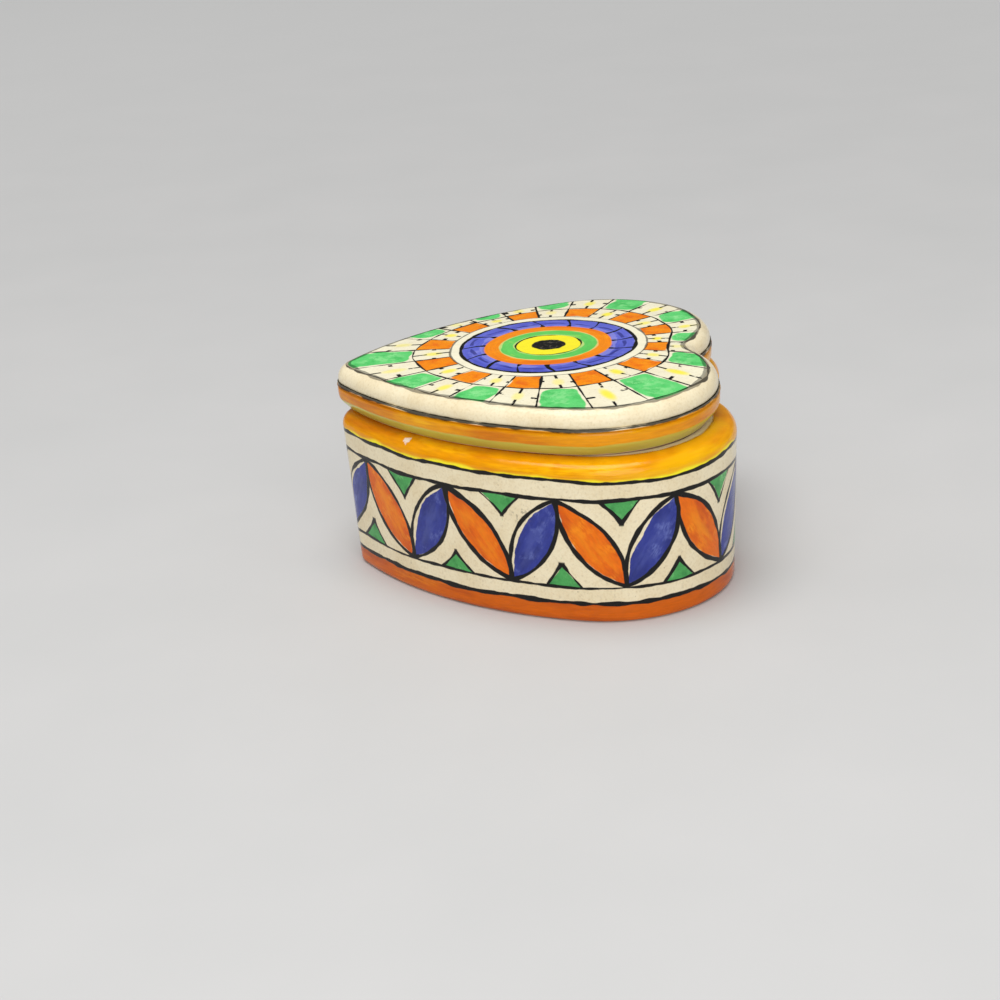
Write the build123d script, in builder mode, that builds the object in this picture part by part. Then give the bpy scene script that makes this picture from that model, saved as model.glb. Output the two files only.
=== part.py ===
# Heart-shaped glazed earthenware trinket box: a hollow base and a loose lid with a locating flange.
# Millimetres, +Z up, the tip of the heart towards -Y, the underside of the base on Z = 0.

from build123d import *
from math import atan2, degrees, sqrt
import os

# Heart outline of the base, at its widest line
length = 91.6         # tip to lobes
lobe_x = 19.8         # middle of each lobe, from the centre line
lobe_r = 29.3         # round of each lobe
side_r = 91.0         # long arc from lobe to tip
tip_r = 8.6           # round of the tip
cleft_r = 5.0         # hollow between the lobes

# Base
belly_z = 34.2        # table to the widest line, where the shoulder starts
shoulder_h = 4.1      # widest line to the rim
shoulder_r = 3.9      # round of the shoulder
foot_draw = 1.6       # how much the outline is drawn in at the table
foot_r = 1.2          # round of the bottom edge
wall = 4.5            # side wall
floor = 4.5           # thickness of the bottom
mouth_inset = 8.0     # widest outline to the mouth
lip_h = 3.5           # upright part of the mouth
inner_tip_r = 3.0     # round of the tip inside the wall

# Lid
lid_inset = 1.4       # base outline to lid outline
lobe_draw = 3.0       # how much closer together the lid's lobes stand
lid_slip = 1.6        # how far the lid sits towards the tip
lid_turn = 2.2        # degrees that the lid sits turned, clockwise from above
seat_gap = 0.1        # rim to the underside of the lid
lower_h = 6.4         # lower roll
lower_proud = 0.3     # how far the lower roll stands out past the upper one
lower_under_r = 2.7   # round under the lower roll
groove_r = 0.8        # rounds of the groove between the rolls
upper_h = 4.5         # upper roll
upper_edge_r = 3.2    # round of the top edge
plate = 5.0           # thickness of the lid's top plate
flange_gap = 3.2      # mouth to flange, all round, when the lid is centred
flange_h = 3.6        # how far the flange reaches below the seat
flange_wall = 3.2     # thickness of the flange

# Places that follow from the sizes above
rim_z = belly_z + shoulder_h
seat_z = rim_z + seat_gap
top_z = seat_z + lower_h + upper_h
tip_overhang = max(lid_slip + lower_proud - lid_inset, 0)
middle_y = tip_overhang / 2             # puts the origin under the middle of the whole box


# Closed outline of tangent arcs, drawn into the sketch that is open: the base's heart, grown outwards
# by grow, with its lobes drawn together by draw and its tip rounded by round_tip.
def heart(grow, draw=0.0, round_tip=None):
    lobe = Vector(lobe_x - draw, length / 2 - lobe_r)
    tip = Vector(0, tip_r - length / 2)
    down = (tip - lobe).normalized()
    span = (tip - lobe).length
    along = (span**2 + (side_r - lobe_r) ** 2 - (side_r - tip_r) ** 2) / (2 * span)
    across = sqrt((side_r - lobe_r) ** 2 - along**2)
    side = lobe + down * along + Vector(down.Y, -down.X) * across
    cleft = Vector(0, lobe.Y + sqrt((lobe_r + cleft_r) ** 2 - lobe.X**2))

    if round_tip is None:
        round_tip = tip_r + grow
    tip = Vector(0, side.Y - sqrt((side_r + grow - round_tip) ** 2 - side.X**2))

    at_tip = direction(side, tip)
    at_lobe = direction(side, lobe)
    at_cleft = direction(lobe, cleft)
    with BuildLine() as outline:
        CenterArc(tip, round_tip, -180 - at_tip, 180 + 2 * at_tip)
        CenterArc(side, side_r + grow, at_tip, at_lobe - at_tip)
        CenterArc(lobe, lobe_r + grow, at_lobe, at_cleft - at_lobe)
        CenterArc(cleft, cleft_r - grow, at_cleft - 180, 180 - 2 * at_cleft)
        CenterArc(mirrored(lobe), lobe_r + grow, 180 - at_cleft, at_cleft - at_lobe)
        CenterArc(mirrored(side), side_r + grow, 180 - at_lobe, at_lobe - at_tip)
    make_face(outline.edges())


# Angle, in degrees from +X, of the way from one point to another
def direction(start, end):
    way = end - start
    return degrees(atan2(way.Y, way.X))


def mirrored(point):
    return Vector(-point.X, point.Y)


# Base: tapered wall, rounded shoulder and foot, and a cavity that narrows to the mouth
table = Plane((0, middle_y, 0))
with BuildPart() as base:
    with BuildSketch(table):
        heart(-foot_draw)
    with BuildSketch(table.offset(belly_z)):
        heart(0)
    loft(ruled=True)
    with BuildSketch(table.offset(belly_z)):
        heart(0)
    extrude(amount=shoulder_h)
    fillet(base.faces().sort_by(Axis.Z)[-1].edges(), shoulder_r)
    fillet(base.faces().sort_by(Axis.Z)[0].edges(), foot_r)

    with BuildSketch(table.offset(floor)):
        heart(-wall, round_tip=inner_tip_r)
    extrude(amount=belly_z - floor - lip_h, mode=Mode.SUBTRACT)
    with BuildSketch(table.offset(belly_z - lip_h)):
        heart(-wall, round_tip=inner_tip_r)
    with BuildSketch(table.offset(rim_z - lip_h)):
        heart(-mouth_inset, round_tip=inner_tip_r)
    loft(ruled=True, mode=Mode.SUBTRACT)
    with BuildSketch(table.offset(rim_z - lip_h)):
        heart(-mouth_inset, round_tip=inner_tip_r)
    extrude(amount=lip_h, mode=Mode.SUBTRACT)
base.part.label = "base"

# Lid: two stacked rolls with a groove between them, and a flange that drops into the mouth
seat = Plane((0, middle_y - lid_slip, seat_z)).rotated((0, 0, -lid_turn))
with BuildPart() as upper_roll:
    with BuildSketch(seat.offset(lower_h)):
        heart(-lid_inset, lobe_draw)
    extrude(amount=upper_h)
    fillet(upper_roll.faces().sort_by(Axis.Z)[0].edges(), groove_r)
    fillet(upper_roll.faces().sort_by(Axis.Z)[-1].edges(), upper_edge_r)

with BuildPart() as lid:
    with BuildSketch(seat):
        heart(lower_proud - lid_inset, lobe_draw)
    extrude(amount=lower_h)
    fillet(lid.faces().sort_by(Axis.Z)[0].edges(), lower_under_r)
    fillet(lid.faces().sort_by(Axis.Z)[-1].edges(), groove_r)
    add(upper_roll.part)
    with BuildSketch(seat.offset(-flange_h)):
        heart(-mouth_inset - flange_gap, round_tip=inner_tip_r)
    extrude(amount=flange_h)
    with BuildSketch(seat.offset(-flange_h)):
        heart(-mouth_inset - flange_gap - flange_wall, round_tip=inner_tip_r)
    extrude(amount=flange_h + lower_h + upper_h - plate, mode=Mode.SUBTRACT)
lid.part.label = "lid"

os.makedirs("parts", exist_ok=True)
export_step(base.part, "parts/base.step")
export_step(lid.part, "parts/lid.step")
print("box", round(length, 1), "long,", round(2 * (lobe_x + lobe_r), 1), "wide,", round(top_z, 1), "high")
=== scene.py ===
from math import atan2, ceil, cos, pi, radians, sin, sqrt, tan

import bpy
from mathutils import Matrix, Vector


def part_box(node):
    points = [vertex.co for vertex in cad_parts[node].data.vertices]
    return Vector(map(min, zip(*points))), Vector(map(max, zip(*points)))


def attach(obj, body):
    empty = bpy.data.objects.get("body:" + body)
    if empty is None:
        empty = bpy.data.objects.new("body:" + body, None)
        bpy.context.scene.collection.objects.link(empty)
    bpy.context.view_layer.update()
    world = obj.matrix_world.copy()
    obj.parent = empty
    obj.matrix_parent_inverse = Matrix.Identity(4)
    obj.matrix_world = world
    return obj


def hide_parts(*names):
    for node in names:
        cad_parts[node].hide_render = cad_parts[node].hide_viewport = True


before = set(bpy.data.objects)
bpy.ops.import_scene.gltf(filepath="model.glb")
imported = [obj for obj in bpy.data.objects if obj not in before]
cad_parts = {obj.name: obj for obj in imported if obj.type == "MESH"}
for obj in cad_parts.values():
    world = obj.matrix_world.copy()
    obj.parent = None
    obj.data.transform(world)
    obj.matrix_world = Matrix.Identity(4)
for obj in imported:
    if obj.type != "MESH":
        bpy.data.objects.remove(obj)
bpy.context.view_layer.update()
mm = 0.001
print("frame loaded")


def newObject(name, data):
    made = bpy.data.objects.new(name, data)
    bpy.context.scene.collection.objects.link(made)
    return made


# Heart outline: arcs that touch each other, one lobe, side, tip and cleft, as on the fired pieces

heartSizes = {
    "length": 91.6,        # tip to lobes
    "lobeX": 19.8,         # middle of a lobe from the centre line
    "lobeR": 29.3,
    "sideR": 91.0,         # long arc from lobe to tip
    "tipR": 8.6,
    "cleftR": 5.0,
    "slip": 1.6,           # how far the lid sits towards the tip
    "turn": 2.2,           # degrees the lid sits turned, clockwise from above
    "lidInset": 1.4,       # base outline to lid outline
    "lobeDraw": 3.0,       # how much closer the lid's lobes stand
}


def between(start, end):
    return atan2(end.y - start.y, end.x - start.x)


def heartArcs(grow, draw, roundTip=None):
    # (centre, radius, start angle, swept angle) round the heart, from the tip, as seen from above
    s = heartSizes
    lobe = Vector((s["lobeX"] - draw, s["length"] / 2 - s["lobeR"]))
    tip = Vector((0, s["tipR"] - s["length"] / 2))
    down = (tip - lobe).normalized()
    span = (tip - lobe).length
    along = (span**2 + (s["sideR"] - s["lobeR"])**2 - (s["sideR"] - s["tipR"])**2) / (2 * span)
    across = sqrt((s["sideR"] - s["lobeR"])**2 - along**2)
    side = lobe + down * along + Vector((down.y, -down.x)) * across
    cleft = Vector((0, lobe.y + sqrt((s["lobeR"] + s["cleftR"])**2 - lobe.x**2)))
    roundTip = s["tipR"] + grow if roundTip is None else roundTip
    tip = Vector((0, side.y - sqrt((s["sideR"] + grow - roundTip)**2 - side.x**2)))
    atTip, atLobe, atCleft = between(side, tip), between(side, lobe), between(lobe, cleft)

    def mirrored(point):
        return Vector((-point.x, point.y))

    return [
        (tip, roundTip, -pi / 2, pi / 2 + atTip),
        (side, s["sideR"] + grow, atTip, atLobe - atTip),
        (lobe, s["lobeR"] + grow, atLobe, atCleft - atLobe),
        (cleft, s["cleftR"] - grow, atCleft - pi, pi - 2 * atCleft),
        (mirrored(lobe), s["lobeR"] + grow, pi - atCleft, atCleft - atLobe),
        (mirrored(side), s["sideR"] + grow, pi - atLobe, atLobe - atTip),
        (tip, roundTip, pi - atTip, pi / 2 + atTip),
    ]


def arcKnots(centre, radius, start, sweep):
    # knots of a curve that follows one arc: (point, way to the next handle) at even steps
    steps = max(1, ceil(abs(sweep) / radians(50)))
    reach = 4 / 3 * tan(sweep / steps / 4) * radius
    knots = []
    for i in range(steps + 1):
        a = start + sweep * i / steps
        knots.append((centre + Vector((cos(a), sin(a))) * radius, Vector((-sin(a), cos(a))) * reach))
    return knots


def heartLength(grow):
    return sum(radius * abs(sweep) for centre, radius, start, sweep in heartArcs(grow, 0))


def curveObject(name, knots, cyclic, radii=None):
    # knots: (point, back handle, front handle), all in metres
    curve = bpy.data.curves.new(name, "CURVE")
    curve.dimensions = "3D"
    curve.resolution_u = 48
    spline = curve.splines.new("BEZIER")
    spline.bezier_points.add(len(knots) - 1)
    for knot, (point, back, front) in zip(spline.bezier_points, knots):
        knot.handle_left_type = knot.handle_right_type = "FREE"
        knot.co, knot.handle_left, knot.handle_right = point, back, front
    for knot, radius in zip(spline.bezier_points, radii or []):
        knot.radius = radius
    spline.use_cyclic_u = cyclic
    return newObject(name, curve)


def heartCurve(name, placement, grow, draw=0, roundTip=None):
    merged = []
    for arc in heartArcs(grow, draw, roundTip):
        for i, (point, way) in enumerate(arcKnots(*arc)):
            if i == 0 and merged:
                merged[-1][2] = point + way
            else:
                merged.append([point, point - way, point + way])
    merged[0][1] = merged[-1][1]
    merged.pop()
    knots = [[placement @ Vector((p.x, p.y, 0)) * mm for p in knot] for knot in merged]
    return curveObject(name, knots, True)


def profileCurve(name, corners):
    # corners: (offset, height, pull, rounding, inner); pull draws a point from the outline to the
    # middle, and inner takes it from the outer outline to the inner one
    points = [Vector(corner[:3]) for corner in corners]
    knots, radii = [], []
    for i, point in enumerate(points):
        rounding, inner = corners[i][3:]
        radii += [inner] if rounding == 0 else [inner, inner]
        if rounding == 0:
            knots.append([point, point, point])
            continue
        toLast = (points[i - 1] - point).normalized()
        toNext = (points[i + 1] - point).normalized()
        turn = pi - toLast.angle(toNext)
        cut = rounding * tan(turn / 2)
        reach = 4 / 3 * tan(turn / 4) * rounding
        first, last = point + toLast * cut, point + toNext * cut
        knots.append([first, first, first - toLast * reach])
        knots.append([last, last - toNext * reach, last])
    return curveObject(name, [[p * mm for p in knot] for knot in knots], False, radii)


# Short ways to build trees of nodes

def socketKind(value):
    if isinstance(value, str):
        return value
    if isinstance(value, tuple):
        return "Color" if len(value) == 4 else "Vector"
    return "Int" if isinstance(value, int) else "Float"


def startTree(name, inputs, outputs, kind="ShaderNodeTree"):
    # inputs: each name with its first value, or with its kind where it has none
    tree = bpy.data.node_groups.new(name, kind)
    for label, value in inputs.items():
        socket = tree.interface.new_socket(
            label, in_out="INPUT", socket_type="NodeSocket" + socketKind(value))
        if not isinstance(value, str):
            socket.default_value = value
    for label, value in outputs.items():
        tree.interface.new_socket(label, in_out="OUTPUT", socket_type="NodeSocket" + value)
    entry = tree.nodes.new("NodeGroupInput")
    leave = tree.nodes.new("NodeGroupOutput")
    return Wiring(tree), entry.outputs, leave.inputs


class Wiring:
    # each call adds a node, joins what it is given and gives the new node's output
    def __init__(self, tree):
        self.tree = tree
        self.kind = "ShaderNodeGroup" if tree.type == "SHADER" else "GeometryNodeGroup"

    def node(self, kind, inputs=None, **settings):
        made = self.tree.nodes.new(kind)
        for key, value in settings.items():
            setattr(made, key, value)
        for key, value in (inputs or {}).items():
            self.feed(made.inputs[key], value)
        return made

    def feed(self, socket, value):
        if isinstance(value, bpy.types.NodeSocket):
            self.tree.links.new(value, socket)
        elif value is not None:
            socket.default_value = value

    def math(self, operation, *values, clamp=False):
        made = self.node("ShaderNodeMath", operation=operation, use_clamp=clamp)
        for socket, value in zip(made.inputs, values):
            self.feed(socket, value)
        return made.outputs[0]

    def chain(self, operation, values):
        joined = values[0]
        for value in values[1:]:
            joined = self.math(operation, joined, value)
        return joined

    def plus(self, *values):
        return self.chain("ADD", values)

    def times(self, *values):
        return self.chain("MULTIPLY", values)

    both = times           # for masks

    def either(self, *masks):
        return self.chain("MAXIMUM", masks)

    def minus(self, a, b):
        return self.math("SUBTRACT", a, b)

    def over(self, a, b, clamp=False):
        return self.math("DIVIDE", a, b, clamp=clamp)

    def size(self, value):
        return self.math("ABSOLUTE", value)

    def square(self, value):
        return self.math("POWER", value, 2.0)

    def point(self, *parts):
        return self.node("ShaderNodeCombineXYZ", dict(zip("XYZ", parts))).outputs[0]

    def apart(self, place):
        return self.node("ShaderNodeSeparateXYZ", {"Vector": place}).outputs

    def shades(self, colour):
        return self.node("ShaderNodeSeparateColor", {"Color": colour}).outputs

    def vector(self, operation, a, b=None, scale=None):
        made = self.node("ShaderNodeVectorMath", operation=operation)
        self.feed(made.inputs[0], a)
        self.feed(made.inputs[1], b)
        if operation == "SCALE":
            self.feed(made.inputs["Scale"], scale)
        return made.outputs["Value" if operation in ("LENGTH", "DOT_PRODUCT") else "Vector"]

    def mix(self, factor, a, b):
        made = self.node("ShaderNodeMix", data_type="RGBA")
        for index, value in ((0, factor), (6, a), (7, b)):
            self.feed(made.inputs[index], value)
        return made.outputs[2]

    def smooth(self, value, low, high):
        # 0 at low and 1 at high, with soft ends
        return self.node("ShaderNodeMapRange", {"Value": value, "From Min": low, "From Max": high},
                         interpolation_type="SMOOTHSTEP").outputs[0]

    def noise(self, place, scale, seed=0.0, detail=2.0, colour=False):
        # each seed looks at another part of the same noise
        step = Vector((37.0, -21.0, 53.0))
        if isinstance(seed, bpy.types.NodeSocket):
            place = self.vector("ADD", place, self.vector("SCALE", step, scale=seed))
        elif seed:
            place = self.vector("ADD", place, step * seed)
        made = self.node("ShaderNodeTexNoise", {"Vector": place, "Scale": scale, "Detail": detail})
        return made.outputs["Color" if colour else "Fac"]

    def around(self, value, spread):
        # a value from -spread to spread made of one from 0 to 1
        return self.times(self.minus(value, 0.5), spread * 2)

    def group(self, tree, **values):
        made = self.node(self.kind, node_tree=tree)
        for key, value in values.items():
            self.feed(made.inputs[key.replace("_", " ")], value)
        return made.outputs


def paint(red, green, blue):
    # colour as seen on screen, 0 to 255, to the linear colour that shaders take
    def linear(level):
        return level / 12.92 if level <= 0.04045 else ((level + 0.055) / 1.055)**2.4
    return (linear(red / 255), linear(green / 255), linear(blue / 255), 1)


def shellTree():
    # wraps a profile round an outline and draws its ends to the middle
    w, given, leave = startTree("wrappedShell", {
        "Outline": "Object", "Inner Outline": "Object", "Profile": "Object",
        "Around": 360, "Along": 200, "Middle": (0, 0, 0), "Full Pull": 0.02,
        "Dome": 0.0, "Dome From": 0.5, "Wobble": 0.0, "Seed": 1.0, "Material": "Material",
    }, {"Geometry": "Geometry"}, "GeometryNodeTree")

    def curveOf(label):
        return w.node("GeometryNodeObjectInfo", {"Object": given[label]}).outputs["Geometry"]

    def sampled(curves, factor, value=None):
        return w.node("GeometryNodeSampleCurve", {"Curves": curves, "Factor": factor, "Value": value},
                      mode="FACTOR", use_all_curves=True).outputs

    def mixed(factor, a, b):
        return w.vector("ADD", a, w.vector("SCALE", w.vector("SUBTRACT", b, a), scale=factor))

    grid = w.node("GeometryNodeMeshGrid", {
        "Size X": 1.0, "Size Y": 1.0, "Vertices X": given["Around"], "Vertices Y": given["Along"]})
    place = w.apart(w.node("GeometryNodeInputPosition").outputs[0])
    around = w.plus(place["X"], 0.5)
    along = w.plus(place["Y"], 0.5)
    outer = sampled(curveOf("Outline"), around)
    inner = sampled(curveOf("Inner Outline"), around)
    profile = sampled(curveOf("Profile"), along, w.node("GeometryNodeInputRadius").outputs[0])
    section = w.apart(profile["Position"])
    pull = w.over(section["Z"], given["Full Pull"], clamp=True)
    tangent = mixed(profile["Value"], outer["Tangent"], inner["Tangent"])
    outward = w.vector("NORMALIZE", w.vector("CROSS_PRODUCT", tangent, (0, 0, 1)))
    edge = mixed(profile["Value"], outer["Position"], inner["Position"])
    edge = w.vector("ADD", edge, w.vector("SCALE", outward, scale=section["X"]))
    flat = w.apart(mixed(pull, edge, given["Middle"]))
    bulge = w.times(pull, w.minus(2.0, pull))
    onTop = w.math("GREATER_THAN", along, given["Dome From"])
    rise = w.times(bulge, onTop, given["Dome"])
    built = w.point(flat["X"], flat["Y"], w.plus(section["Y"], rise))
    lumps = w.node("ShaderNodeTexNoise", {
        "Vector": built, "W": given["Seed"], "Scale": 45.0, "Detail": 1.0}, noise_dimensions="4D")
    push = w.vector("SUBTRACT", lumps.outputs["Color"], (0.5, 0.5, 0.5))
    settled = w.over(section["Y"], 6 * mm, clamp=True)       # none where the piece stands
    built = w.vector("ADD", built, w.vector("SCALE", push, scale=w.times(given["Wobble"], settled)))

    mesh = w.node("GeometryNodeStoreNamedAttribute", {
        "Geometry": grid.outputs["Mesh"], "Name": "wrap", "Value": grid.outputs["UV Map"]},
        data_type="FLOAT2", domain="CORNER").outputs[0]
    for label, value in (("pull", pull), ("inset", section["X"]), ("inside", profile["Value"])):
        mesh = w.node("GeometryNodeStoreNamedAttribute", {
            "Geometry": mesh, "Name": label, "Value": value}, data_type="FLOAT", domain="POINT").outputs[0]
    mesh = w.node("GeometryNodeSetPosition", {"Geometry": mesh, "Position": built}).outputs[0]
    mesh = w.node("GeometryNodeMergeByDistance", {"Geometry": mesh, "Distance": 1e-6}).outputs[0]
    mesh = w.node("GeometryNodeSetShadeSmooth", {"Geometry": mesh}).outputs[0]
    mesh = w.node("GeometryNodeRealizeInstances", {"Geometry": mesh}).outputs[0]
    mesh = w.node("GeometryNodeSetMaterial", {"Geometry": mesh, "Material": given["Material"]}).outputs[0]
    w.feed(leave["Geometry"], mesh)
    return w.tree


def grownMesh(name, tree, values):
    # runs the tree on an empty mesh and keeps the result as a plain mesh object
    seedling = newObject(name + "Grower", bpy.data.meshes.new(name + "Grower"))
    modifier = seedling.modifiers.new("grow", "NODES")
    modifier.node_group = tree
    for socket in tree.interface.items_tree:
        if socket.in_out == "INPUT" and socket.name in values:
            modifier[socket.identifier] = values[socket.name]
    bpy.context.view_layer.update()
    graph = bpy.context.evaluated_depsgraph_get()
    mesh = bpy.data.meshes.new_from_object(seedling.evaluated_get(graph))
    seedling.modifiers.remove(modifier)
    bpy.data.objects.remove(seedling)
    mesh.name = name
    return newObject(name, mesh)


shell = shellTree()

middleY = 0.25         # puts the origin under the middle of the whole box
basePlace = Matrix.Translation((0, middleY, 0))
lidPlace = (Matrix.Translation((0, middleY - heartSizes["slip"], 0))
            @ Matrix.Rotation(-radians(heartSizes["turn"]), 4, "Z"))
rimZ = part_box("base")[1].z / mm
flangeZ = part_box("lid")[0].z / mm
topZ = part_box("lid")[1].z / mm
fullPull = 8.0         # length in a profile that stands for the way to the middle
bothShells = {
    "Around": 480,         # steps round the outline and along the profile
    "Along": 185,
    "Full Pull": fullPull * mm,
    "Wobble": 0.25 * mm,   # the same on both, with one seed, so that the seat fits
    "Seed": 3.0,
}


# Shader groups that both pieces' paint is made of; places and distances are in mm

def brushLineTree():
    # a line of dark paint by its distance from the line's middle
    w, given, leave = startTree("brushLine", {
        "Distance": 0.0, "Width": 0.6, "Wander": 0.2, "Uneven": 0.35, "Place": (0, 0, 0), "Seed": 0.0,
    }, {"Mask": "Float"})
    slow = w.around(w.noise(given["Place"], 0.07, given["Seed"], 1), 2.0)
    drift = w.times(slow, given["Wander"])
    quick = w.around(w.noise(given["Place"], 0.6, given["Seed"], 2), 0.1)
    distance = w.plus(w.plus(given["Distance"], drift), quick)
    load = w.times(w.around(w.noise(given["Place"], 0.22, given["Seed"], 1), 2.4), given["Uneven"])
    half = w.times(w.times(given["Width"], 0.5), w.plus(load, 1.0))
    edge = w.minus(w.size(distance), half)
    w.feed(leave["Mask"], w.smooth(edge, 0.09, -0.09))
    return w.tree


def leafTree():
    # a pointed leaf between two nodes of the frieze, from its middle
    w, given, leave = startTree("leaf", {
        "X": 0.0, "Z": 0.0, "Run": 13.0, "Rise": 20.0, "Half Width": 4.5, "Line Width": 0.9,
        "Sliver": 0.6,         # bare strip along the upper side
        "Place": (0, 0, 0), "Seed": 0.0,
    }, {"Line": "Float", "Fill": "Float", "Streaks": "Vector", "Heart": "Float"})
    length = w.math("SQRT", w.plus(w.square(given["Run"]), w.square(given["Rise"])))
    run = w.over(given["Run"], length)
    rise = w.over(given["Rise"], length)
    along = w.plus(w.times(given["X"], run), w.times(given["Z"], rise))
    across = w.minus(w.times(given["X"], rise), w.times(given["Z"], run))
    half = w.times(length, 0.5)
    wide = given["Half Width"]
    radius = w.over(w.plus(w.square(half), w.square(wide)), w.times(wide, 2.0))
    shifted = w.plus(w.size(across), w.minus(radius, wide))
    distance = w.minus(w.math("SQRT", w.plus(w.square(along), w.square(shifted))), radius)
    line = w.group(brushLine, Distance=distance, Width=given["Line Width"], Wander=0.1, Uneven=0.35,
                   Place=given["Place"], Seed=given["Seed"])["Mask"]
    ragged = w.around(w.noise(given["Place"], 0.5, given["Seed"], 3), 0.34)
    upperSide = w.smooth(across, 0.6, -1.6)
    gap = w.times(upperSide, given["Sliver"])
    gap = w.times(gap, w.times(w.noise(given["Place"], 0.12, given["Seed"], 0), 2.0))
    inner = w.plus(w.plus(distance, ragged), w.plus(gap, 0.25))
    streaks = w.point(w.times(along, 0.35), across, given["Seed"])
    w.feed(leave["Line"], line)
    w.feed(leave["Fill"], w.smooth(inner, 0.1, -0.1))
    w.feed(leave["Streaks"], streaks)
    w.feed(leave["Heart"], w.over(w.times(distance, -1.0), wide))
    return w.tree


def wedgeTree():
    # a small filled triangle whose two long sides are drawn
    w, given, leave = startTree("wedge", {
        "X": 0.0, "Height": 0.0, "Half Width": 4.8, "Tall": 5.8, "Place": (0, 0, 0), "Seed": 0.0,
    }, {"Line": "Float", "Fill": "Float"})
    left = w.minus(1.0, w.over(given["Height"], given["Tall"]))
    hollow = w.math("POWER", w.math("MAXIMUM", left, 0.0), 1.15)       # sides curve in a little
    side = w.minus(w.size(given["X"]), w.times(given["Half Width"], hollow))
    side = w.times(side, 0.78)
    width = w.plus(w.times(w.smooth(left, 0.4, 0.05), 0.25), 0.62)     # heavier at the tip
    line = w.group(brushLine, Distance=side, Width=width, Wander=0.25, Uneven=0.6,
                   Place=given["Place"], Seed=given["Seed"])["Mask"]
    within = w.both(w.smooth(given["Height"], -0.3, 0.0), w.smooth(left, -0.12, -0.03))
    ragged = w.around(w.noise(given["Place"], 0.45, given["Seed"], 3), 0.5)
    inner = w.plus(w.plus(side, ragged), 0.16)
    w.feed(leave["Line"], w.both(line, within))
    fill = w.both(w.smooth(inner, 0.1, -0.1), w.smooth(given["Height"], 0.0, 0.2))
    w.feed(leave["Fill"], fill)
    return w.tree


def tileRingTree():
    # a ring of painted tiles that alternate with plain ones, which have ticks and a yellow dot
    w, given, leave = startTree("tileRing", {
        "Turns": 0.0,          # whole at the start of each painted tile
        "Radius": 30.0, "Inner": 24.0, "Outer": 32.0, "Pairs": 12.0,
        "Gap": 0.0,            # bare edge of a painted tile
        "Rounding": 2.0, "Place": (0, 0, 0), "Seed": 0.0,
    }, {"Line": "Float", "Fill": "Float", "Dot": "Float", "Heart": "Float"})
    around = w.over(w.times(given["Radius"], 2 * pi), given["Pairs"])
    own = w.math("FRACT", given["Turns"])
    number = w.plus(w.math("FLOOR", given["Turns"]), given["Seed"])
    luck = w.shades(w.node("ShaderNodeTexWhiteNoise", {"W": number}, noise_dimensions="1D").outputs["Color"])
    nearest = w.size(w.minus(w.math("FRACT", w.plus(w.times(given["Turns"], 2.0), 0.5)), 0.5))
    toSide = w.times(w.times(nearest, 0.5), around)
    middle = w.times(w.plus(given["Inner"], given["Outer"]), 0.5)
    deep = w.minus(given["Outer"], given["Inner"])
    out = w.minus(given["Radius"], middle)
    toRim = w.minus(w.times(deep, 0.5), w.size(out))

    side = w.group(brushLine, Distance=toSide, Width=0.48, Wander=0.0, Uneven=0.7,
                   Place=given["Place"], Seed=given["Seed"])["Mask"]
    side = w.both(side, w.smooth(toRim, -0.1, 0.1))
    ragged = w.around(w.noise(given["Place"], 0.22, given["Seed"], 1), 1.0)
    corner = w.minus(w.math("SMOOTH_MIN", toSide, toRim, given["Rounding"]), given["Gap"])
    fill = w.smooth(w.plus(corner, ragged), 0.0, 0.4)
    painted = w.math("LESS_THAN", own, 0.5)

    # two ticks that cross in a plain tile, each a little off its place
    sideways = w.times(w.minus(own, 0.75), around)
    sideways = w.plus(sideways, w.around(luck["Red"], 0.35))
    outwards = w.plus(out, w.around(luck["Green"], 0.5))
    slant = w.plus(sideways, w.times(out, w.around(luck["Blue"], 0.12)))
    upright = w.smooth(w.size(slant), 0.42, 0.24)
    tilt = w.times(sideways, w.around(luck["Red"], 0.3))
    level = w.smooth(w.size(w.plus(outwards, tilt)), 0.62, 0.38)
    reach = w.math("MINIMUM", w.times(deep, 0.34), 3.4)
    reach = w.times(reach, w.plus(w.times(luck["Green"], 0.5), 0.7))
    upright = w.both(upright, w.smooth(w.minus(toRim, reach), 0.12, -0.12), w.smooth(toRim, -0.1, 0.1))
    short = w.times(w.plus(w.times(luck["Blue"], 0.6), 0.7), w.times(around, 0.075))
    level = w.both(level, w.smooth(w.minus(toSide, short), 0.12, -0.12))
    ticks = w.both(w.either(upright, level), w.minus(1.0, painted))
    ticks = w.both(ticks, w.smooth(w.noise(given["Place"], 0.6, given["Seed"], 1), 0.3, 0.42))

    dotWide = w.over(sideways, 1.35)
    dotTall = w.over(outwards, w.times(deep, 0.25))
    dot = w.plus(w.square(dotWide), w.square(dotTall))
    dot = w.both(w.smooth(dot, 1.7, 0.0), w.minus(1.0, painted))
    strong = w.math("ADD", w.times(luck["Red"], 0.7), 0.45, clamp=True)
    w.feed(leave["Line"], w.either(side, ticks))
    w.feed(leave["Fill"], w.both(fill, painted))
    w.feed(leave["Heart"], w.smooth(corner, 0.8, 3.2))
    w.feed(leave["Dot"], w.both(dot, strong))
    return w.tree


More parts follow.
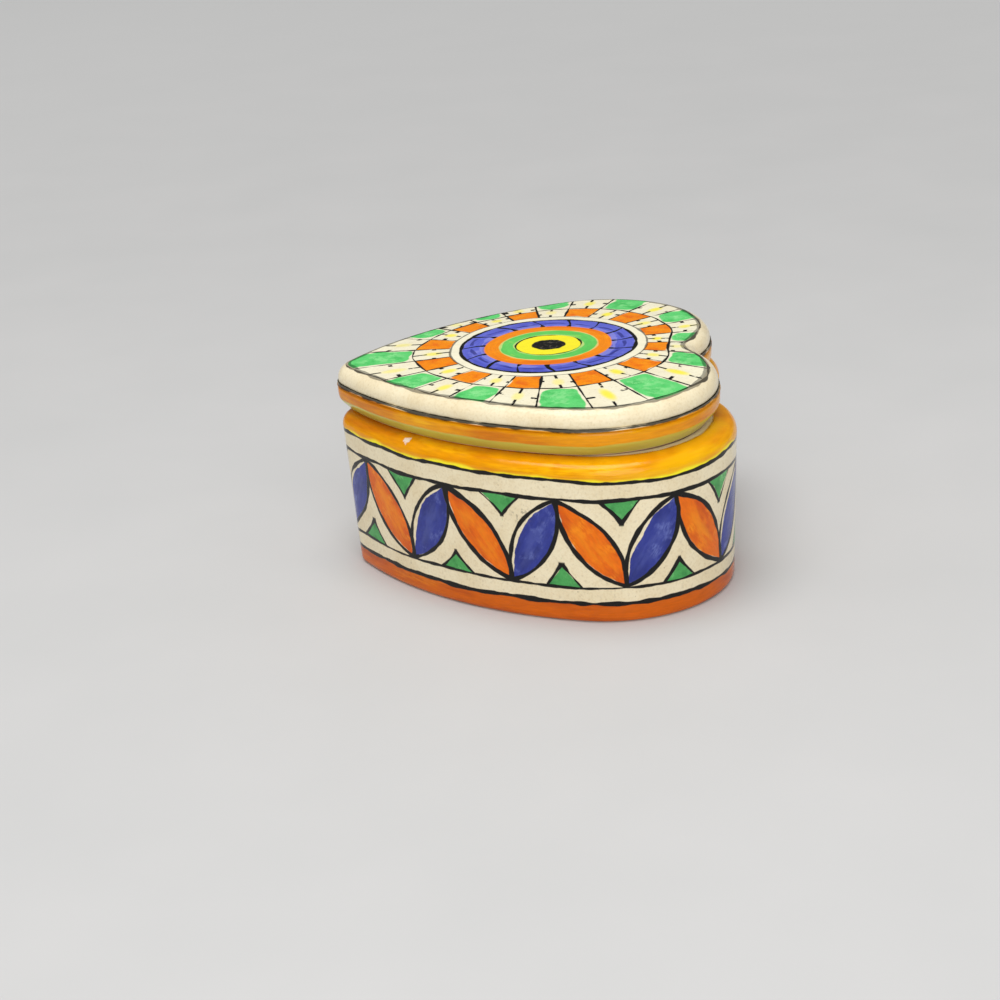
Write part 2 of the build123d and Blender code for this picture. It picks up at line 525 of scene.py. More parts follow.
def brushedTree():
    # colour laid on with a wet brush: pooled and thin places along the stroke
    w, given, leave = startTree("brushed", {
        "Main": (0.8, 0.2, 0.0, 1), "Deep": (0.5, 0.1, 0.0, 1), "Thin": (0.9, 0.5, 0.2, 1),
        "Stroke": (0, 0, 0), "Place": (0, 0, 0), "Seed": 0.0,
    }, {"Color": "Color"})
    pooled = w.smooth(w.noise(given["Stroke"], 0.3, given["Seed"], 3), 0.46, 0.7)
    thin = w.smooth(w.noise(given["Place"], 0.28, given["Seed"], 4), 0.52, 0.74)
    hair = w.noise(given["Stroke"], 2.2, given["Seed"], 3)
    thin = w.both(thin, w.smooth(hair, 0.3, 0.6))
    colour = w.mix(w.times(pooled, 0.7), given["Main"], given["Deep"])
    colour = w.mix(w.times(thin, 0.75), colour, given["Thin"])
    bright = w.plus(w.around(hair, 0.2), 1.0)
    made = w.node("ShaderNodeHueSaturation", {"Value": bright, "Color": colour}).outputs[0]
    w.feed(leave["Color"], made)
    return w.tree


def creamTree():
    # milky glaze over a buff body, with fine specks and a few brown pinpoints
    w, given, leave = startTree("creamGlaze", {
        "Pale": (0.85, 0.8, 0.65, 1), "Warm": (0.75, 0.66, 0.45, 1), "Speck": (0.3, 0.2, 0.1, 1),
        "Specks": 0.3, "Place": (0, 0, 0), "Seed": 0.0,
    }, {"Color": "Color"})
    cloud = w.noise(given["Place"], 0.11, given["Seed"], 3)
    grain = w.noise(given["Place"], 1.7, given["Seed"], 3)
    tone = w.plus(w.times(w.smooth(cloud, 0.35, 0.7), 0.45), w.times(w.smooth(grain, 0.45, 0.7), 0.35))
    colour = w.mix(tone, given["Pale"], given["Warm"])
    cells = w.node("ShaderNodeTexVoronoi", {"Vector": given["Place"], "Scale": 0.8}, feature="F1")
    lucky = w.shades(cells.outputs["Color"])["Red"]
    dots = w.both(w.smooth(cells.outputs["Distance"], 0.2, 0.1), w.smooth(lucky, 0.9, 0.93))
    mottled = w.smooth(w.noise(given["Place"], 1.3, given["Seed"], 4), 0.52, 0.74)
    specks = w.times(w.either(w.times(mottled, 0.4), dots), given["Specks"])
    w.feed(leave["Color"], w.mix(specks, colour, given["Speck"]))
    return w.tree


def glazeSkinTree():
    # the melted surface: slow waves, orange peel, paint that stands up a little and a few pits
    w, given, leave = startTree("glazeSkin", {
        "Place": (0, 0, 0), "Raised": 0.0, "Dry": 0.0, "Gloss": 0.16,
    }, {"Normal": "Vector", "Roughness": "Float"})
    waves = w.times(w.noise(given["Place"], 0.16, 3.0, 2), 0.22)
    peel = w.times(w.noise(given["Place"], 1.3, 5.0, 2), 0.025)
    clay = w.times(w.noise(given["Place"], 4.0, 9.0, 3), w.times(given["Dry"], 0.12))
    pits = w.node("ShaderNodeTexVoronoi", {"Vector": given["Place"], "Scale": 0.35}, feature="F1")
    pit = w.times(w.smooth(pits.outputs["Distance"], 0.11, 0.03), -0.06)
    height = w.plus(w.plus(waves, peel), w.plus(clay, pit))
    height = w.plus(height, w.times(given["Raised"], 0.05))
    bump = w.node("ShaderNodeBump", {"Strength": 1.0, "Distance": mm, "Height": height})
    patchy = w.times(w.smooth(w.noise(given["Place"], 0.2, 6.0, 3), 0.4, 0.7), 0.12)
    rough = w.plus(given["Gloss"], w.plus(patchy, w.times(given["Dry"], 0.55)))
    w.feed(leave["Normal"], bump.outputs["Normal"])
    w.feed(leave["Roughness"], rough)
    return w.tree


brushLine = brushLineTree()
leafShape = leafTree()
wedgeShape = wedgeTree()
tileRing = tileRingTree()
brushed = brushedTree()
creamGlaze = creamTree()
glazeSkin = glazeSkinTree()
print("shader groups made")


glazes = {                 # as seen on screen
    "pale": (240, 227, 194),
    "warm": (222, 202, 160),
    "white": (247, 241, 212),
    "speck": (120, 92, 60),
    # grey brown of the smudge's dirt, and of the painted sheen on the black dot
    "sootAndSheen": (116, 106, 90),
    "black": (12, 10, 8),
    "yellow": (252, 238, 40),
    "violetDash": (40, 44, 124),
    "limePale": (238, 232, 150),
    # the lip's yellow darkened to olive, painted shade under the lid's lower roll
    "shadedYellow": (210, 212, 100),
    "deeperShadedYellow": (184, 172, 70),
    "clay": (214, 170, 140),
    "clayPale": (228, 194, 164),
}

brushes = {                # full strength, pooled and thin
    "amber": ((232, 152, 0), (198, 100, 0), (250, 192, 10)),
    "orange": ((232, 108, 0), (196, 70, 0), (248, 150, 14)),
    "tile": ((246, 140, 0), (228, 96, 0), (252, 164, 10)),
    # the foot's orange, darkened as painted shade near the floor
    "shadedOrange": ((208, 96, 0), (172, 66, 0), (226, 128, 8)),
    "blue": ((48, 58, 143), (34, 42, 112), (104, 116, 184)),
    "violet": ((96, 104, 208), (62, 70, 178), (140, 142, 222)),
    "green": ((76, 162, 86), (46, 122, 62), (130, 204, 126)),
    "mint": ((98, 212, 116), (60, 184, 86), (152, 232, 152)),
    "lime": ((104, 208, 96), (80, 190, 84), (164, 222, 90)),
}


def glaze(name):
    return paint(*glazes[name])


def thinned(name):
    return paint(*brushes[name][2])


def startMaterial(name):
    material = bpy.data.materials.new(name)
    material.use_nodes = True
    w = Wiring(material.node_tree)
    shader = material.node_tree.nodes["Principled BSDF"]
    where = w.node("ShaderNodeTexCoord").outputs["Object"]
    place = w.vector("SCALE", where, scale=1000.0)
    return material, w, shader, place


def brushColours(w, name, seed, stroke, place=None):
    main, deep, thin = (paint(*tone) for tone in brushes[name])
    return w.group(brushed, Stroke=stroke, Place=place or stroke, Seed=seed, Main=main, Deep=deep,
                   Thin=thin)["Color"]


def cream(w, place, specks, seed, pale="pale", warm="warm"):
    return w.group(creamGlaze, Pale=glaze(pale), Warm=glaze(warm), Speck=glaze("speck"),
                   Specks=specks, Place=place, Seed=seed)["Color"]


def bareClay(w, place):
    return w.mix(w.noise(place, 0.8, 3.0, 4), glaze("clay"), glaze("clayPale"))


def attribute(w, name):
    return w.node("ShaderNodeAttribute", attribute_name=name).outputs["Fac"]


def dress(w, shader, colour, place, raised, dry, gloss):
    skin = w.group(glazeSkin, Place=place, Raised=raised, Dry=dry, Gloss=gloss)
    w.feed(shader.inputs["Base Color"], colour)
    w.feed(shader.inputs["Normal"], skin["Normal"])
    w.feed(shader.inputs["Roughness"], skin["Roughness"])
    shader.inputs["IOR"].default_value = 1.5
    shader.inputs["Specular IOR Level"].default_value = 0.28       # a soft gloss


# Base: one shell from the middle of the underside, up the wall, over the rim and down to the floor

baseShape = {
    "footDraw": 1.6,       # outline drawn in at the table
    "footR": 1.2,
    "bellyZ": 34.2,        # line under the shoulder roll
    "wall": 4.5,
    "floor": 4.5,
    "mouthInset": 8.0,
    "lip": 3.5,            # upright part of the mouth
    "innerTipR": 3.0,
}

baseBands = {
    "foot": 4.7,           # heights of the drawn lines, mm
    "friezeLow": 8.4,
    "friezeHigh": 29.7,
    "shoulder": 34.3,
    "footLine": 1.05,      # widths of the same lines
    "lowLine": 0.66,
    "highLine": 0.86,
    "shoulderLine": 0.85,
    "periods": 11,         # pairs of leaves round the box
    "firstTop": 12.0,      # first top node, mm from the tip
    "meet": 0.545,         # where the leaves meet below, as part of a pair
    "uneven": 0.11,        # pairs of leaves drawn closer on one side
    "blueLeaf": (4.5, 0.75, 0.25),      # half width, bare strip, and how pale the middle is
    "orangeLeaf": (4.25, 0.25, 0.6),
    "leafLine": 0.85,      # least width of a leaf's outline
    "wedge": (4.6, 5.7),   # half width and height
    "stray": (2.2, 1.6),   # how far the hand strays sideways and up or down
    "chip": (22.4, -29.2, 37.4),        # its middle, and below it how far it reaches, mm
    "chipR": 1.0,
    "chipTone": (0.82, 0.66, 0.55, 1),
    "smudge": (60.5, 25.5),             # mm round the wall from the tip, and height
}


def basePaint():
    s = baseBands
    material, w, shader, place = startMaterial("basePaint")
    parts = w.apart(place)
    height = parts["Z"]
    turn = w.apart(w.node("ShaderNodeUVMap", uv_map="wrap").outputs[0])["X"]
    inside = attribute(w, "inside")
    girth = heartLength(0)
    walked = w.times(turn, girth)
    wall = w.point(walked, height, 0.0)

    # the same hand drew it all: the whole frieze strays a little
    stray = w.vector("SUBTRACT", w.noise(place, 0.055, 2.0, 1, colour=True), (0.5, 0.5, 0.5))
    stray = w.apart(stray)
    strayX = w.times(stray["X"], s["stray"][0])
    strayZ = w.times(stray["Y"], s["stray"][1])
    z = w.plus(height, strayZ)
    x = w.plus(walked, strayX)
    start = w.minus(x, s["firstTop"])
    bend = w.math("SINE", w.times(start, 2 * pi / girth))
    phase = w.minus(w.times(start, s["periods"] / girth), w.times(bend, s["uneven"]))
    period = girth / s["periods"]

    def local(centre):
        # mm from the nearest repeat of a place in the pair, and the number of that repeat
        shifted = w.plus(w.minus(phase, centre), 0.5)
        away = w.times(w.minus(w.math("FRACT", shifted), 0.5), period)
        return away, w.math("MODULO", w.math("FLOOR", shifted), float(s["periods"]))

    def luck(number, seed):
        # three chance values of one repeat
        made = w.node("ShaderNodeTexWhiteNoise", {"Vector": w.point(number, seed)}, noise_dimensions="2D")
        return w.shades(made.outputs["Color"])

    low, high = s["friezeLow"], s["friezeHigh"]
    middle, rise = (low + high) / 2, high - low - 0.6
    lines, colour = [], cream(w, place, 0.4, 1.0)
    for name, centre, run, seed in (
            ("blue", (s["meet"] - 1) / 2, (1 - s["meet"]) * period, 1.0),
            ("orange", s["meet"] / 2, -s["meet"] * period, 4.0)):
        wide, sliver, pale = s[name + "Leaf"]
        away, number = local(centre)
        chance = luck(number, seed)
        half = w.plus(w.around(chance["Red"], 0.45), wide)
        thick = w.plus(w.times(chance["Green"], 0.45), s["leafLine"])
        leaf = w.group(leafShape, X=away, Z=w.minus(z, middle), Run=run, Rise=rise,
                       Half_Width=half, Line_Width=thick, Sliver=sliver, Place=place,
                       Seed=w.plus(number, seed))
        shade = brushColours(w, name, w.plus(number, seed), leaf["Streaks"], place)
        glow = w.both(w.smooth(leaf["Heart"], 0.2, 0.95),
                      w.smooth(w.noise(leaf["Streaks"], 0.5, 25.0, 2), 0.35, 0.6))
        shade = w.mix(w.times(glow, pale), shade, thinned(name))
        colour = w.mix(leaf["Fill"], colour, shade)
        lines.append(leaf["Line"])
    for centre, base, up, seed in ((0.51, high, -1.0, 7.0), (0.02, low, 1.0, 9.0)):
        away, number = local(centre)
        chance = luck(number, seed)
        tall = w.plus(w.around(chance["Red"], 0.7), s["wedge"][1])
        wide = w.plus(w.around(chance["Green"], 0.6), s["wedge"][0])
        wedge = w.group(wedgeShape, X=away, Height=w.times(w.minus(z, base), up),
                        Half_Width=wide, Tall=tall, Place=place, Seed=seed)
        shade = brushColours(w, "green", seed, place)
        colour = w.mix(wedge["Fill"], colour, shade)
        lines.append(wedge["Line"])

    # paint gathers where the leaves meet
    for centre, at, size in ((0.0, high - 0.5, 0.95), (s["meet"], low + 0.7, 0.75)):
        away, number = local(centre)
        gathered = w.vector("LENGTH", w.point(away, w.minus(z, at)))
        gathered = w.plus(gathered, w.around(w.noise(place, 0.5, 27.0, 2), 0.7))
        lines.append(w.smooth(gathered, size + 0.12, size - 0.12))

    # nothing of the frieze goes past its two lines
    outer = w.minus(1.0, inside)
    band = w.both(w.smooth(z, low - 0.1, low), w.smooth(z, high + 0.1, high))
    drawn = w.both(w.either(*lines), band)
    colour = w.mix(band, cream(w, place, 0.4, 1.0), colour)

    # a smudge beside the second green wedge
    smudge = w.vector("LENGTH", w.vector("SUBTRACT", wall, (*s["smudge"], 0)))
    smudge = w.both(w.smooth(smudge, 3.6, 0.6), w.smooth(w.noise(place, 1.5, 29.0, 3), 0.5, 0.62))
    colour = w.mix(w.times(smudge, 0.5), colour, glaze("sootAndSheen"))

    def ring(value, at, width, wander, seed):
        return w.group(brushLine, Distance=w.minus(value, at), Width=width, Wander=wander,
                       Uneven=0.4, Place=place, Seed=seed)["Mask"]

    # foot: the orange darkened to a deeper red orange as painted shade near the floor, laid on along the
    # line
    footEdge = w.plus(height, w.around(w.noise(place, 0.09, 12.0, 1), 0.35))
    stretched = w.point(w.times(walked, 0.16), height)
    colour = w.mix(w.smooth(footEdge, s["foot"] + 0.05, s["foot"] - 0.1), colour,
                   brushColours(w, "shadedOrange", 21.0, stretched))

    # shoulder: amber over yellow, yellow left bare along the line here and there
    roll = w.plus(height, w.around(w.noise(place, 0.06, 31.0, 1), 1.3))
    yellowLow = w.smooth(roll, s["shoulder"] - 0.3, s["shoulder"] + 0.1)
    amberLow = w.plus(roll, w.around(w.noise(place, 0.06, 33.0, 2), 2.0))
    drawnOut = w.point(w.times(walked, 0.12), height)
    amber = brushColours(w, "amber", 35.0, drawnOut)
    paintedLightOnLobes = w.both(w.smooth(parts["Y"], 5.0, 36.0), w.smooth(w.noise(drawnOut, 0.5, 37.0, 2), 0.25, 0.6))
    amber = w.mix(w.times(paintedLightOnLobes, 0.7), amber, thinned("amber"))      # painted light: paler on the lobe side, in the look of thinner paint
    colour = w.mix(yellowLow, colour, glaze("yellow"))
    colour = w.mix(w.smooth(amberLow, s["shoulder"] + 0.1, s["shoulder"] + 1.0), colour, amber)

    drawn = w.either(
        drawn,
        ring(height, s["foot"], s["footLine"], 0.25, 11.0),
        ring(z, low, s["lowLine"], 0.1, 13.0),
        ring(z, high, s["highLine"], 0.1, 15.0),
        ring(roll, s["shoulder"] - 0.1, s["shoulderLine"], 0.0, 17.0))
    drawn = w.both(drawn, outer)
    colour = w.mix(drawn, colour, glaze("black"))

    # a chip in the shoulder's glaze
    chip = w.vector("LENGTH", w.vector("SUBTRACT", place, s["chip"]))
    chip = w.plus(chip, w.around(w.noise(place, 1.2, 41.0, 2), 0.7))
    chip = w.both(w.smooth(chip, s["chipR"] + 0.15, s["chipR"] - 0.2), outer)
    colour = w.mix(chip, colour, s["chipTone"])

    # inside and underneath
    inward = w.smooth(w.plus(inside, w.around(w.noise(place, 0.4, 43.0, 2), 0.1)), 0.8, 0.95)
    colour = w.mix(inward, colour, cream(w, place, 0.4, 5.0))
    bare = w.smooth(height, 0.35, 0.1)
    colour = w.mix(bare, colour, bareClay(w, place))
    raised = w.minus(drawn, w.times(chip, 3.0))
    dress(w, shader, colour, place, raised, w.either(bare, chip), 0.14)
    return material


def makeBase():
    s = baseShape
    under = s["wall"] - s["mouthInset"]      # cavity wall, from the mouth outline
    corners = [
        (-6, 0, fullPull, 0, 0),
        (-6, 0, 0, 0, 0),
        (-s["footDraw"], 0, 0, s["footR"], 0),
        (-0.1, s["bellyZ"], 0, 3, 0),
        (0.1, s["bellyZ"] + 2.2, 0, 3, 0),
        (-1.6, rimZ - 0.5, 0, 2.2, 0),
        (-4.5, rimZ, 0, 0, 0),
        (2, rimZ, 0, 0, 1),
        (0, rimZ, 0, 1, 1),
        (0, rimZ - s["lip"], 0, 1.5, 1),
        (-under, s["bellyZ"] - s["lip"], 0, 3, 1),
        (-under, s["floor"], 0, 3, 1),
        (-2, s["floor"], 0, 0, 1),
        (-2, s["floor"], fullPull, 0, 1),
    ]
    outline = heartCurve("baseOutline", basePlace, 0)
    mouth = heartCurve("mouthOutline", basePlace, -s["mouthInset"], 0, s["innerTipR"])
    profile = profileCurve("baseProfile", corners)
    piece = grownMesh("paintedBase", shell, {
        "Outline": outline, "Inner Outline": mouth, "Profile": profile, "Middle": (0, 3 * mm, 0),
        "Material": basePaint(), **bothShells})
    for spent in (outline, mouth, profile):
        bpy.data.objects.remove(spent)
    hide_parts("base")
    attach(piece, "base")
    print("base made")


# Lid: recess, flange, seat, two rolls and the painted top

lidShape = {
    "lowerH": 6.4,         # lower roll
    "proud": 0.3,
    "flangeGap": 3.2,
    "flangeH": 3.6,
    "flangeWall": 3.2,
    "plate": 5.0,
    "edgeR": 3.2,          # round of the top edge
    "dome": 0.3,
    "flatFrom": 4.4,       # from the outline to where the top runs straight to the rings
    "ringMiddle": (-4.74, 4.45),
}

lidBands = {
    "dot": 4.0,            # radii of the rings, mm
    "yellow": 7.75,
    "green": 11.7,
    "orange": 15.3,
    "blue": 20.6,
    "white": 23.4,
    "split": 11.0,         # most that the line between the two tile rings stands out
    "splitFrom": 14.0,
    "edgeLine": 2.63,      # from the lid's outline
    "pairs": 12,           # painted and plain tiles in each ring
    "twist": 1.7,          # degrees that both tile rings are turned
    "innerStart": 9.5,     # degrees where a painted tile of each ring starts
    "outerStart": 354.5,
    "bricks": 15,
    "brickR": 18.5,        # middle of the blue ring
    "jointLine": 0.66,
    "topFrom": 46.5,       # height above which the top's painting shows
    "groove": 44.8,
    "grooveLine": 0.68,
    "lip": 41.5,           # where the orange of the lower roll ends
    "bareBelow": 38.6,     # unglazed seat and flange
}


def lidPaint():
    s = lidBands
    material, w, shader, place = startMaterial("lidPaint")
    inside, inset, pull = attribute(w, "inside"), attribute(w, "inset"), attribute(w, "pull")
    inset = w.times(inset, 1000.0)
    fromMiddle = w.vector("SUBTRACT", place, (*lidShape["ringMiddle"], 0))
    parts = w.apart(fromMiddle)
    height = w.apart(place)["Z"]
    flat = w.point(parts["X"], parts["Y"])
    trueRadius = w.vector("LENGTH", flat)
    radius = w.plus(trueRadius, w.around(w.noise(place, 0.08, 2.0, 1), 0.45))
    angle = w.math("ARCTAN2", parts["Y"], parts["X"])
    edge = w.over(trueRadius, w.minus(1.0001, pull))
    edge = w.plus(edge, lidShape["flatFrom"] - s["edgeLine"])

    def harmonic(order, cosine, sine):
        many = w.times(angle, float(order))
        return w.plus(w.times(w.math("COSINE", many), cosine), w.times(w.math("SINE", many), sine))

    # the tiles crowd together on one side
    crowd = w.plus(harmonic(1, 3.0, -0.8), harmonic(2, -1.0, 0.6))
    degrees = w.plus(w.minus(w.times(angle, 180 / pi), crowd), 360 + s["twist"])
    split = w.minus(1.0, w.math("EXPONENT", w.over(w.minus(s["white"], edge), s["splitFrom"])))
    split = w.plus(w.times(split, s["split"]), s["white"])
    split = w.plus(split, w.around(w.noise(flat, 0.09, 4.0, 1), 0.9))

    def stroke(distance, width, wander, uneven, seed):
        return w.group(brushLine, Distance=distance, Width=width, Wander=wander, Uneven=uneven,
                       Place=place, Seed=seed)["Mask"]

    def circle(at, *brush):
        return stroke(w.minus(radius, at), *brush)

    turns = w.over(w.minus(degrees, s["innerStart"]), 360 / s["pairs"])
    inner = w.group(tileRing, Turns=turns, Radius=trueRadius, Inner=s["white"], Outer=split,
                    Pairs=s["pairs"], Gap=-0.15, Rounding=1.0, Place=place, Seed=1.0)
    turns = w.over(w.minus(degrees, s["outerStart"]), 360 / s["pairs"])
    outer = w.group(tileRing, Turns=turns, Radius=trueRadius, Inner=split, Outer=edge,
                    Pairs=s["pairs"], Gap=0.35, Rounding=4.0, Place=place, Seed=2.0)
    inInner = w.both(w.smooth(trueRadius, s["white"] - 0.1, s["white"]),
                     w.math("LESS_THAN", trueRadius, split))
    beyond = w.minus(inset, -s["edgeLine"])
    inOuter = w.both(w.math("GREATER_THAN", trueRadius, split), w.smooth(beyond, 0.1, 0.0))

    colour = cream(w, place, 0.3, 2.0, "white", "pale")
    tiles = w.mix(w.both(inner["Fill"], inInner), colour, brushColours(w, "tile", 51.0, flat))
    mint = brushColours(w, "mint", 53.0, flat)
    glow = w.both(outer["Heart"], w.smooth(w.noise(flat, 0.45, 55.0, 3), 0.45, 0.62))
    mint = w.mix(w.times(glow, 0.55), mint, thinned("mint"))
    tiles = w.mix(w.both(outer["Fill"], inOuter), tiles, mint)
    dots = w.either(w.both(inner["Dot"], inInner), w.both(outer["Dot"], inOuter))
    tiles = w.mix(w.times(dots, 0.9), tiles, glaze("yellow"))
    lines = w.either(w.both(inner["Line"], inInner), w.both(outer["Line"], inOuter))

    # rings, from the outside in
    swirl = w.point(radius, w.times(angle, 1.6))
    inWhite = w.smooth(radius, s["white"] + 0.1, s["white"] - 0.1)
    colour = w.mix(inWhite, tiles, glaze("white"))
    for name, tone, seed in (("blue", "violet", 61.0), ("orange", "tile", 63.0), ("green", "lime", 65.0)):
        colour = w.mix(w.smooth(radius, s[name] + 0.3, s[name] - 0.3), colour,
                       brushColours(w, tone, seed, swirl, flat))
    halo = w.either(circle(s["green"], 0.45, 0.3, 0.9, 20.0), circle(s["yellow"] + 0.5, 0.5, 0.3, 0.9, 21.0))
    colour = w.mix(w.times(halo, 0.5), colour, glaze("limePale"))
    colour = w.mix(w.smooth(radius, s["yellow"] + 0.2, s["yellow"] - 0.2), colour, glaze("yellow"))

    # bricks of the blue ring
    lean = w.times(w.math("SINE", w.times(radius, 0.5)), 3.0)
    bricks = w.over(w.plus(degrees, lean), 360 / s["bricks"])
    own = w.minus(w.math("FRACT", bricks), 0.5)
    toJoint = w.times(w.minus(0.5, w.size(own)), 2 * pi * s["brickR"] / s["bricks"])
    inBlue = w.both(w.smooth(radius, s["orange"] - 0.2, s["orange"]),
                    w.smooth(radius, s["blue"] + 0.1, s["blue"]))
    blob = w.times(w.smooth(radius, s["orange"] + 1.6, s["orange"] + 0.2), 0.4)
    toJoint = w.math("MAXIMUM", w.minus(toJoint, blob), 0.0)
    joints = w.both(stroke(toJoint, s["jointLine"], 0.1, 0.6, 5.0), inBlue)
    dash = w.both(circle(s["orange"] + 2.7, 0.6, 1.2, 0.6, 6.0), w.smooth(w.size(own), 0.4, 0.25), inBlue)
    washed = w.both(circle(s["orange"] + 0.7, 1.1, 0.6, 0.9, 22.0), inBlue)
    colour = w.mix(w.times(washed, 0.7), colour, thinned("violet"))
    colour = w.mix(w.times(dash, 0.75), colour, glaze("violetDash"))

    blot = w.plus(radius, w.around(w.noise(flat, 0.5, 7.0, 2), 0.5))
    dot = w.smooth(blot, s["dot"] + 0.15, s["dot"] - 0.15)
    top = w.smooth(w.minus(1.0, inside), 0.4, 0.6)
    onTop = w.smooth(height, s["topFrom"], s["topFrom"] + 0.5)
    lines = w.either(
        lines, joints, dot,
        circle(s["yellow"], 0.4, 0.1, 0.9, 8.0),
        circle(s["blue"] + 0.2, 0.85, 0.1, 0.4, 9.0),
        w.times(circle(s["white"], 0.42, 0.05, 0.7, 10.0), 0.75),
        w.both(stroke(w.minus(trueRadius, split), 0.5, 0.0, 0.6, 12.0), w.smooth(beyond, 0.1, 0.0)),
        w.times(stroke(beyond, 1.25, 0.25, 0.5, 14.0), 0.62),
        w.times(stroke(beyond, 0.5, 0.7, 0.9, 18.0), 0.9))
    sideCream = cream(w, place, 0.2, 2.0)
    painted = w.both(w.smooth(beyond, 0.1, 0.0), onTop, top)
    colour = w.mix(painted, sideCream, colour)
    lines = w.both(lines, onTop, top)

    # rolls
    stretched = w.point(w.times(parts["X"], 0.12), w.times(parts["Y"], 0.12), height)
    roll = w.plus(height, w.around(w.noise(place, 0.06, 71.0, 1), 0.25))
    colour = w.mix(w.smooth(roll, s["groove"] + 0.05, s["groove"] - 0.1), colour,
                   brushColours(w, "amber", 73.0, stretched))
    lip = w.plus(height, w.around(w.noise(place, 0.08, 75.0, 2), 0.6))
    # painted shade: the lip's yellow glaze laid on darkened to olive, deeper in patches
    shadedYellow = w.mix(w.noise(stretched, 0.6, 76.0, 2), glaze("shadedYellow"), glaze("deeperShadedYellow"))
    colour = w.mix(w.smooth(lip, s["lip"] + 0.25, s["lip"] - 0.25), colour, shadedYellow)
    grooveLine = w.both(stroke(w.minus(roll, s["groove"] + 0.27), s["grooveLine"], 0.0, 0.45, 16.0), top)
    lines = w.either(lines, w.times(grooveLine, 0.88))
    colour = w.mix(lines, colour, glaze("black"))
    # painted sheen: pale grey specks on the black middle dot
    paintedSheenOnDot = w.both(dot, onTop, top, w.smooth(w.noise(flat, 0.9, 80.0, 3), 0.52, 0.7))
    colour = w.mix(w.times(paintedSheenOnDot, 0.4), colour, glaze("sootAndSheen"))

    # seat and flange are bare, the recess is glazed
    bareEdge = w.plus(height, w.around(w.noise(place, 0.3, 77.0, 2), 0.3))
    bare = w.smooth(bareEdge, s["bareBelow"] + 0.25, s["bareBelow"])
    colour = w.mix(bare, colour, bareClay(w, place))
    recess = w.both(inside, w.smooth(inset, -3.0, -3.15))
    colour = w.mix(recess, colour, cream(w, place, 0.4, 6.0))
    bare = w.both(bare, w.minus(1.0, recess))
    dress(w, shader, colour, place, lines, bare, 0.12)
    return material


def makeLid():
    s = lidShape
    seatZ = flangeZ + s["flangeH"]
    grooveZ = seatZ + s["lowerH"]
    corners = [
        (-s["flangeWall"], topZ - s["plate"], fullPull, 0, 1),
        (-s["flangeWall"], topZ - s["plate"], 0, 0, 1),
        (-s["flangeWall"], flangeZ, 0, 1, 1),
        (0, flangeZ, 0, 1, 1),
        (0, seatZ, 0, 0.8, 1),
        (2, seatZ, 0, 0, 1),
        (-4.5, seatZ, 0, 0, 0),
        (-2.4, seatZ, 0, 0.8, 0),
        (s["proud"] - 0.1, seatZ + 3, 0, 2.4, 0),
        (s["proud"] + 0.1, grooveZ - 0.2, 0, 1.2, 0),
        (-0.9, grooveZ, 0, 0.4, 0),
        (0, grooveZ + 0.4, 0, 1, 0),
        (0.1, topZ, 0, s["edgeR"], 0),
        (-s["flatFrom"], topZ, 0, 0, 0),
        (-s["flatFrom"], topZ, fullPull, 0, 0),
    ]
    inset, gap = heartSizes["lidInset"], baseShape["mouthInset"] + s["flangeGap"]
    outline = heartCurve("lidOutline", lidPlace, -inset, heartSizes["lobeDraw"])
    flange = heartCurve("flangeOutline", lidPlace, -gap, 0, baseShape["innerTipR"])
    profile = profileCurve("lidProfile", corners)
    piece = grownMesh("paintedLid", shell, {
        "Outline": outline, "Inner Outline": flange, "Profile": profile,
        "Middle": Vector((*s["ringMiddle"], 0)) * mm, "Dome": s["dome"] * mm,
        "Material": lidPaint(), **bothShells})
    for spent in (outline, flange, profile):
        bpy.data.objects.remove(spent)
    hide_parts("lid")
    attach(piece, "lid")
    print("lid made")


makeBase()
makeLid()


# Floor, lights, sky and camera

studio = {
    "aim": (4.26, -9.47, 14.43),       # point on the camera's axis, mm
    "distance": 526.8,
    "azimuth": 90.97,
    "elevation": 21.24,
    "roll": -4.08,
    "lens": 79.2,
    "floor": 30.0,         # half of the floor's side, m
    "paper": ((196, 196, 195), (204, 203, 202), (238, 238, 237)),      # the last is far off
    "sky": 0.48,           # strength of the even light from all round
    "skyDimmed": 0.38,     # how much less of it the gloss shows
    "lamps": {             # place, diameter and power
        "softTop": ((0.1, -0.12, 1.2), 1.0, 9.5),
        "softFill": ((0.95, 0.08, 0.5), 0.9, 4.6),
    },
}


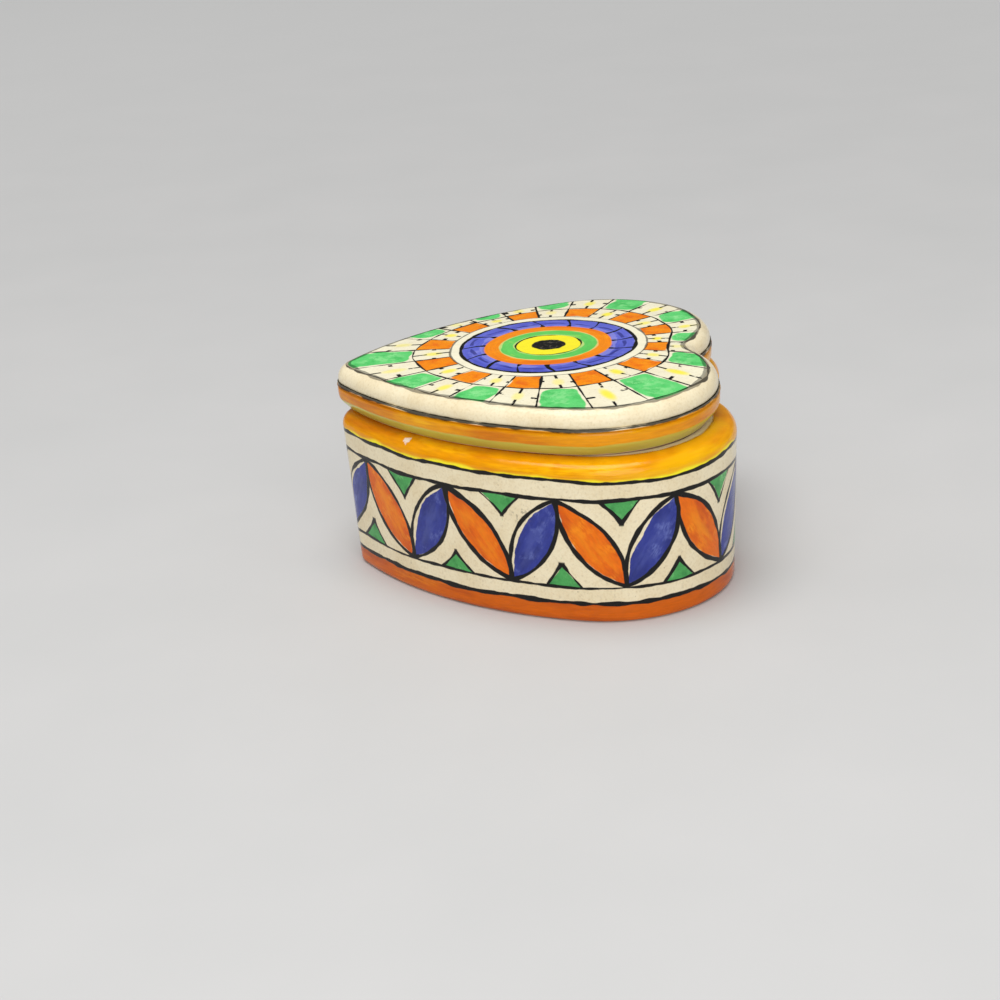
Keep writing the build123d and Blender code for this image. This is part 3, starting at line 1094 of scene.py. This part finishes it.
def floorPaper():
    material, w, shader, place = startMaterial("floorPaper")
    dull, plain, far = (paint(*tone) for tone in studio["paper"])
    colour = w.mix(w.noise(place, 0.02, 1.0, 4), dull, plain)
    colour = w.mix(w.smooth(w.vector("LENGTH", place), 200.0, 1300.0), colour, far)
    w.feed(shader.inputs["Base Color"], colour)
    shader.inputs["Roughness"].default_value = 0.65
    return material


def makeFloor():
    far = studio["floor"]
    corners = [(-far, -far, 0), (far, -far, 0), (far, far, 0), (-far, far, 0)]
    mesh = bpy.data.meshes.new("floor")
    mesh.from_pydata(corners, [], [(0, 1, 2, 3)])
    mesh.materials.append(floorPaper())
    floor = newObject("floor", mesh)


def makeCamera():
    s = studio
    az, el = radians(s["azimuth"]), radians(s["elevation"])
    aim = Vector(s["aim"]) * mm
    away = Vector((sin(az) * cos(el), -cos(az) * cos(el), sin(el)))
    data = bpy.data.cameras.new("camera")
    data.lens, data.sensor_width = s["lens"], 36
    camera = newObject("camera", data)
    look = (-away).to_track_quat("-Z", "Y").to_matrix().to_4x4()
    tilt = Matrix.Rotation(radians(s["roll"]), 4, "Z")
    camera.matrix_world = Matrix.Translation(aim + away * s["distance"] * mm) @ look @ tilt
    data.clip_start = 0.01
    bpy.context.scene.camera = camera


def makeLight(name, place, size, watts):
    data = bpy.data.lights.new(name, "AREA")
    data.shape, data.size, data.energy = "DISK", size, watts
    light = newObject(name, data)
    light.location = place
    light.rotation_euler = (Vector((0, 0, 0.03)) - Vector(place)).to_track_quat("-Z", "Y").to_euler()


def makeWorld():
    world = bpy.data.worlds.new("studio")
    bpy.context.scene.world = world
    world.use_nodes = True
    w = Wiring(world.node_tree)
    ray = w.node("ShaderNodeLightPath").outputs["Is Glossy Ray"]
    level = w.minus(studio["sky"], w.times(ray, studio["skyDimmed"]))
    background = world.node_tree.nodes["Background"]
    background.inputs["Color"].default_value = (1, 1, 1, 1)
    w.feed(background.inputs["Strength"], level)


makeFloor()
makeCamera()
for name, lamp in studio["lamps"].items():
    makeLight(name, *lamp)
makeWorld()
bpy.context.scene.view_settings.view_transform = "Standard"
print("studio made")
